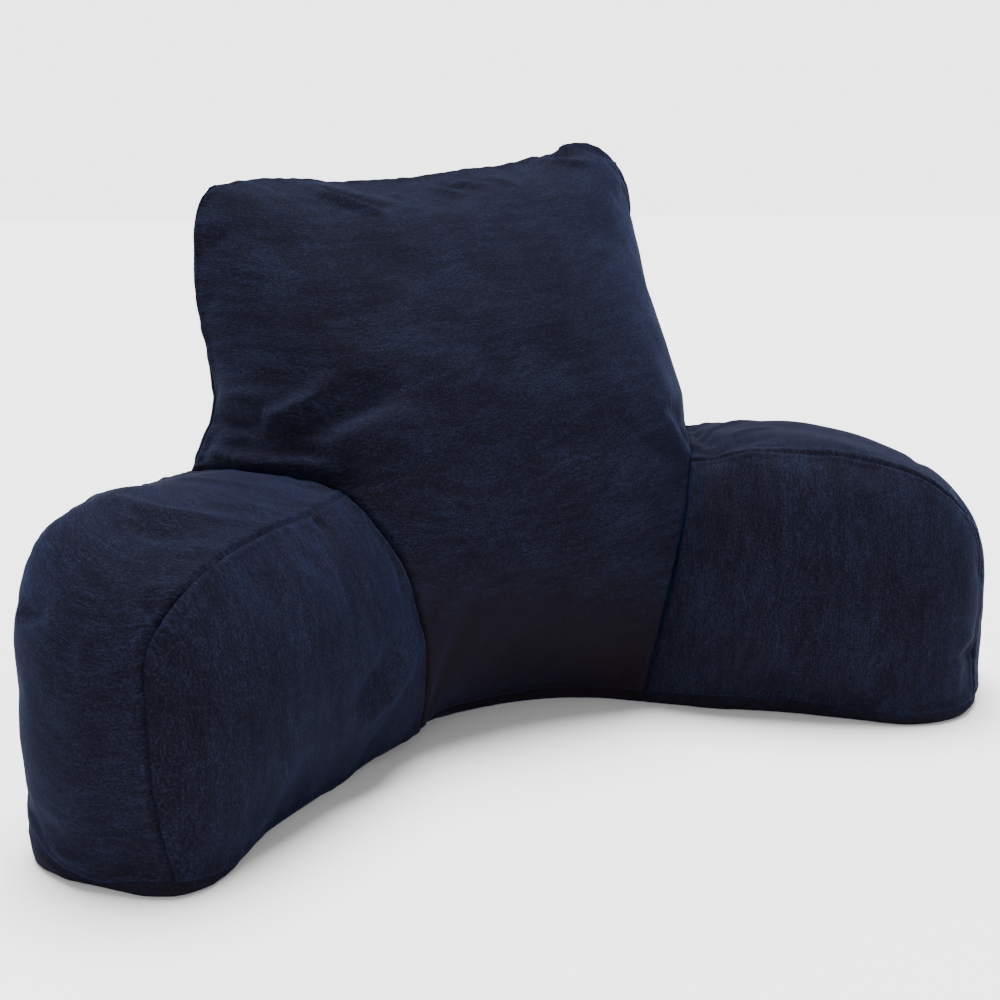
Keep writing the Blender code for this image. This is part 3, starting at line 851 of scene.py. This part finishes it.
def wavy(t, seed):
    """A smooth irregular wave along t, between about -1 and 1: three sines whose
    wavelengths don't fit each other."""
    draw = np.random.default_rng(seed).uniform(0.0, 2.0 * math.pi, 3)
    return (np.sin(t + draw[0]) + 0.6 * np.sin(1.73 * t + draw[1]) + 0.5 * np.sin(0.57 * t + draw[2])) / 2.1


def sewn(pieces, seam_lines, shares):
    """Draw the cloth in at the seams, roll it up beside them, pucker it along them by each
    seam's share, and raise the folds and lumps: all along the skin's normals, by
    -depth * exp(-(distance / half width) ** 2) at a seam and the like beside it."""
    data = []
    for piece in pieces:
        mesh = piece.data
        mesh.calc_loop_triangles()
        points = coords(mesh)
        total, on_cloth = outer_normals(mesh, points)
        seam = values_of(mesh.attributes["seam"].data, "value")
        data.append((points, total, on_cloth, np.nonzero(on_cloth & (seam > 0.5))[0]))
    # where an arm and the back rest share a seam they share its direction too
    back_points, back_total, _, back_rim = data[0]
    for points, total, _, rim in data[1:]:
        away, number = nearest(points[rim], back_points[back_rim])
        pairs = away < SHARED_SEAM
        a, b = rim[pairs], back_rim[number[pairs]]
        both = total[a] + back_total[b]
        total[a] = both
        back_total[b] = both
    a = np.concatenate([line[:-1] for line in seam_lines])
    b = np.concatenate([line[1:] for line in seam_lines])
    start = np.concatenate([np.cumsum(np.linalg.norm(np.diff(line, axis=0), axis=1)) + PUCKER_STEP * k
                            for k, line in enumerate(seam_lines)])
    puckered = np.repeat(shares, [len(line) - 1 for line in seam_lines])
    for piece, (points, total, on_cloth, rim) in zip(pieces, data):
        size = np.linalg.norm(total, axis=1, keepdims=True)
        n = total / np.maximum(size, 1e-12)
        away, number, along = to_segments(points, a, b)
        t = (start[number] + along) * (2.0 * math.pi / PUCKER_PITCH)
        round_corner = np.exp(-(nearest(points, TOP_CORNERS)[0] / CORNER_REACH) ** 2)
        off_floor = 1.0 - np.exp(-(points[:, 2] / FLOOR_FADE) ** 2)
        depth = SEAM_DEPTH * (1.0 - CORNER_SHARE * round_corner) * off_floor
        draw_in = -depth * np.exp(-(away / SEAM_HALF_WIDTH) ** 2)
        roll = ROLL_HEIGHT * np.exp(-((away - ROLL_AT) / ROLL_HALF_WIDTH) ** 2)
        reach = (1.0 - np.exp(-away / PUCKER_START)) * np.exp(-away / PUCKER_REACH)
        pucker = PUCKER_HEIGHT * puckered[number] * wavy(t, PUCKER_SEED) * reach
        lift = draw_in + roll + pucker + lumps(points)
        for *line, half_width, height in FOLDS[piece.name.removesuffix("_cover")]:
            line = np.array(line) * MM - MIDDLE
            lift += fold_lift(points, line, half_width * MM, height * MM)
        lift[points[:, 2] < ON_FLOOR] = 0.0
        moved = points + n * lift[:, None]
        hidden = ~on_cloth
        if hidden.any():
            gap, number = nearest(points[hidden], points[rim])
            follow = (moved - points)[rim[number]]
            moved[hidden] = points[hidden] + follow * np.exp(-gap / HIDDEN_REACH)[:, None]
        moved[:, 2] = np.maximum(moved[:, 2], 0.0)
        set_coords(piece, moved)


def lumps(points):
    """Broad low lumps: the height times the mean of LUMP_WAVES sines, each along its own
    direction in space and with its own wavelength, 0.6 to 1.6 times LUMP_LENGTH."""
    draw = np.random.default_rng(LUMP_SEED)
    heading = draw.normal(size=(3, LUMP_WAVES))
    length = LUMP_LENGTH * draw.uniform(0.6, 1.6, LUMP_WAVES)
    heading *= 2.0 * math.pi / length / np.linalg.norm(heading, axis=0)
    waves = np.sin(points @ heading + draw.uniform(0.0, 2.0 * math.pi, LUMP_WAVES))
    return LUMP_HEIGHT * waves.mean(axis=1)


def fold_lift(points, line, half_width, height):
    """height * exp(-(distance / half width) ** 2) along a line, times sin(pi s) ** FOLD_FADE
    to fade at its ends, s from 0 to 1. The line is first laid on the skin: each of its
    points goes to the nearest point there, by a way that is evened out along the line."""
    fine, length = smooth_line(line, FOLD_SAMPLES)
    at = np.linspace(0.0, 1.0, FOLD_STEPS) * length[-1]
    path = np.stack([np.interp(at, length, fine[:, axis]) for axis in range(3)], axis=1)
    way = points[nearest(path, points)[1]] - path
    for _ in range(WAY_ROUNDS):
        ends = np.concatenate([way[:1], way, way[-1:]])
        way = 0.25 * ends[:-2] + 0.5 * way + 0.25 * ends[2:]
    away, step = nearest(points, path + way)
    fade = np.sin(math.pi * np.linspace(0.0, 1.0, FOLD_STEPS)) ** FOLD_FADE
    return height * fade[step] * np.exp(-(away / half_width) ** 2)


def linear(hex_colour):
    """An sRGB hex colour as a linear RGBA tuple."""
    values = [int(hex_colour[k:k + 2], 16) / 255.0 for k in (1, 3, 5)]
    return tuple([v / 12.92 if v <= 0.04045 else ((v + 0.055) / 1.055) ** 2.4 for v in values] + [1.0])


def add_node(tree, kind, links=(), **settings):
    """A new node with its settings; `links` are (input name or number, output socket)."""
    node = tree.nodes.new(kind)
    for name, value in settings.items():
        if hasattr(node, name):
            setattr(node, name, value)
        else:
            node.inputs[name.replace("_", " ")].default_value = value
    for socket, source in links:
        tree.links.new(source, node.inputs[socket])
    return node


def navy_chenille():
    """Polyester chenille: a short dense pile on thick slubby weft yarns, woven. It is dull,
    painted nearly black as painted shade on the low front and the base, and bluer elsewhere,
    in soft cloudy patches with fine dark and light streaks."""
    material = bpy.data.materials.new("navy_chenille")
    material.use_nodes = True
    tree = material.node_tree
    tree.nodes.clear()
    place = add_node(tree, "ShaderNodeUVMap", uv_map="weave")

    def noise(length, width, **settings):
        """Noise whose grains are about so long along the rib and so wide across it."""
        scaled = add_node(tree, "ShaderNodeMapping", [("Vector", place.outputs[0])],
                          Scale=(1.0 / length, 1.0 / width, 1.0))
        return add_node(tree, "ShaderNodeTexNoise", [("Vector", scaled.outputs[0])], Scale=1.0, **settings)

    # the slubs of the yarn, the pile, the lie of the nap, and the cloudy patches; single
    # fibres are too fine to show, so the pile is drawn as coarse tufts
    slubs = noise(5.0 * MM, 1.7 * MM, Detail=2.0, Roughness=0.55, Distortion=0.2)
    pile = noise(1.7 * MM, 1.2 * MM, Detail=1.0, Roughness=0.6)
    nap = noise(24.0 * MM, 7.0 * MM, Detail=3.0, Roughness=0.55, Distortion=0.3)
    worn = noise(70.0 * MM, 50.0 * MM, Detail=2.0, Roughness=0.5)

    def weighed(total, texture, share):
        """total + share * texture."""
        node = add_node(tree, "ShaderNodeMath", [(0, texture.outputs["Fac"])], operation="MULTIPLY_ADD")
        node.inputs[1].default_value = share
        if total is not None:
            tree.links.new(total.outputs[0], node.inputs[2])
        else:
            node.inputs[2].default_value = 0.0
        return node

    relief_height = weighed(weighed(None, slubs, 0.55), pile, 0.45)
    shade = weighed(None, slubs, 0.25)
    for texture, share in ((pile, 0.38), (nap, 0.20), (worn, 0.17)):
        shade = weighed(shade, texture, share)
    ramp = add_node(tree, "ShaderNodeValToRGB", [("Fac", shade.outputs[0])])
    stops = ramp.color_ramp.elements
    stops[0].position = 0.38
    stops[0].color = linear("#08070d")
    stops[1].position = 0.62
    stops[1].color = linear("#161a2a")
    middle = stops.new(0.5)
    middle.color = linear("#0f0e17")
    # painted shade: the shade attribute mixes the cloth towards near-black #110d10 on the low front and the
    # base
    painted_shade = add_node(tree, "ShaderNodeAttribute", attribute_name="shade")
    cloth = add_node(tree, "ShaderNodeMix", [(0, painted_shade.outputs["Fac"]), (6, ramp.outputs["Color"])],
                     data_type="RGBA")
    cloth.inputs[7].default_value = linear("#110d10")
    relief = add_node(tree, "ShaderNodeBump", [("Height", relief_height.outputs[0])],
                      Strength=0.6, Distance=0.7 * MM)
    shader = add_node(tree, "ShaderNodeBsdfPrincipled",
                      [("Base Color", cloth.outputs[2]), ("Normal", relief.outputs["Normal"])],
                      Roughness=0.85)
    shader.inputs["Specular IOR Level"].default_value = 0.02
    shader.inputs["Sheen Weight"].default_value = 0.07
    shader.inputs["Sheen Roughness"].default_value = 0.50
    shader.inputs["Sheen Tint"].default_value = linear("#506cb8")
    add_node(tree, "ShaderNodeOutputMaterial", [("Surface", shader.outputs[0])])
    return material


def pale_floor():
    """A studio floor of matt white card: a square plane, rough and with a weak shine."""
    material = bpy.data.materials.new("pale_floor")
    material.use_nodes = True
    shader = material.node_tree.nodes["Principled BSDF"]
    shader.inputs["Base Color"].default_value = linear("#f4f4f4")
    shader.inputs["Roughness"].default_value = 0.9
    shader.inputs["Specular IOR Level"].default_value = 0.1
    mesh = bpy.data.meshes.new("floor")
    half = FLOOR_HALF
    corners = [(-half, -half, 0), (half, -half, 0), (half, half, 0), (-half, half, 0)]
    mesh.from_pydata(corners, [], [(0, 1, 2, 3)])
    mesh.materials.append(material)
    floor = bpy.data.objects.new("floor", mesh)
    bpy.context.scene.collection.objects.link(floor)


def studio():
    """A wide soft light high above and a little behind, and white walls all round: the
    sky is bright up to WALL_TOP above the horizon, and dim from SKY_START on."""
    light = bpy.data.lights.new("soft_light", "SUN")
    light.energy = LIGHT_STRENGTH
    light.angle = LIGHT_SPREAD
    lamp = bpy.data.objects.new("soft_light", light)
    lamp.rotation_euler = Vector(LIGHT_FROM).to_track_quat("Z", "Y").to_euler()
    bpy.context.scene.collection.objects.link(lamp)
    world = bpy.data.worlds.new("studio")
    world.use_nodes = True
    tree = world.node_tree
    place = add_node(tree, "ShaderNodeTexCoord")
    parts = add_node(tree, "ShaderNodeSeparateXYZ", [("Vector", place.outputs["Generated"])])
    level = add_node(tree, "ShaderNodeMapRange", [("Value", parts.outputs["Z"])],
                     From_Min=math.sin(WALL_TOP), From_Max=math.sin(SKY_START),
                     To_Min=WALL_GLOW, To_Max=SKY_GLOW)
    tree.links.new(level.outputs["Result"], tree.nodes["Background"].inputs["Strength"])
    tree.nodes["Background"].inputs["Color"].default_value = (1.0, 1.0, 1.0, 1.0)
    bpy.context.scene.world = world


def camera():
    """The camera, on a sphere round its aim: aim + distance * (sin a cos e, -cos a cos e,
    sin e), for azimuth a and elevation e."""
    back = Vector((math.sin(VIEW_AZIMUTH) * math.cos(VIEW_ELEVATION),
                   -math.cos(VIEW_AZIMUTH) * math.cos(VIEW_ELEVATION), math.sin(VIEW_ELEVATION)))
    lens = bpy.data.cameras.new("camera")
    lens.lens = VIEW_LENS
    lens.clip_start = 0.05
    eye = bpy.data.objects.new("camera", lens)
    eye.location = Vector(VIEW_AIM) + back * VIEW_DISTANCE
    eye.rotation_euler = (-back).to_track_quat("-Z", "Y").to_euler()
    bpy.context.scene.collection.objects.link(eye)
    bpy.context.scene.camera = eye


def main():
    """Studio, skins, simulation, relief and cloth, in this order."""
    camera()
    studio()
    pale_floor()
    left = arm_seams("left")
    right = arm_seams("right")
    own = back_seams(left, right)
    skins = [back_skin(left, right, own), arm_skin("left", left), arm_skin("right", right)]
    pieces = [skin.make() for skin in skins]
    blown_up(pieces, skins)
    for piece, skin in zip(pieces, skins):
        set_coords(piece, skin.points)
        finer(piece)
    lines = [arm[name] for arm in (left, right) for name in ARM_PUCKERS]
    lines += [own[name] for name in BACK_PUCKERS]
    sewn(pieces, lines, [*ARM_PUCKERS.values()] * 2 + [*BACK_PUCKERS.values()])
    cloth = navy_chenille()
    for piece in pieces:
        piece.data.materials.clear()
        piece.data.materials.append(cloth)
        piece.data.shade_smooth()
        layers = piece.data.attributes
        for name in ("root", "seam", "crease_edge"):
            if name in layers:
                layers.remove(layers[name])
    for piece, side in zip(pieces[1:], (-1.0, 1.0)):
        shift = GAP * np.array([side * math.sin(ARM_SPLAY), -math.cos(ARM_SPLAY), 0.0])
        set_coords(piece, coords(piece.data) + shift)
    for piece, skin, fill in zip(pieces, skins, FILLS):
        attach(piece, "root")
        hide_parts(skin.name)


main()
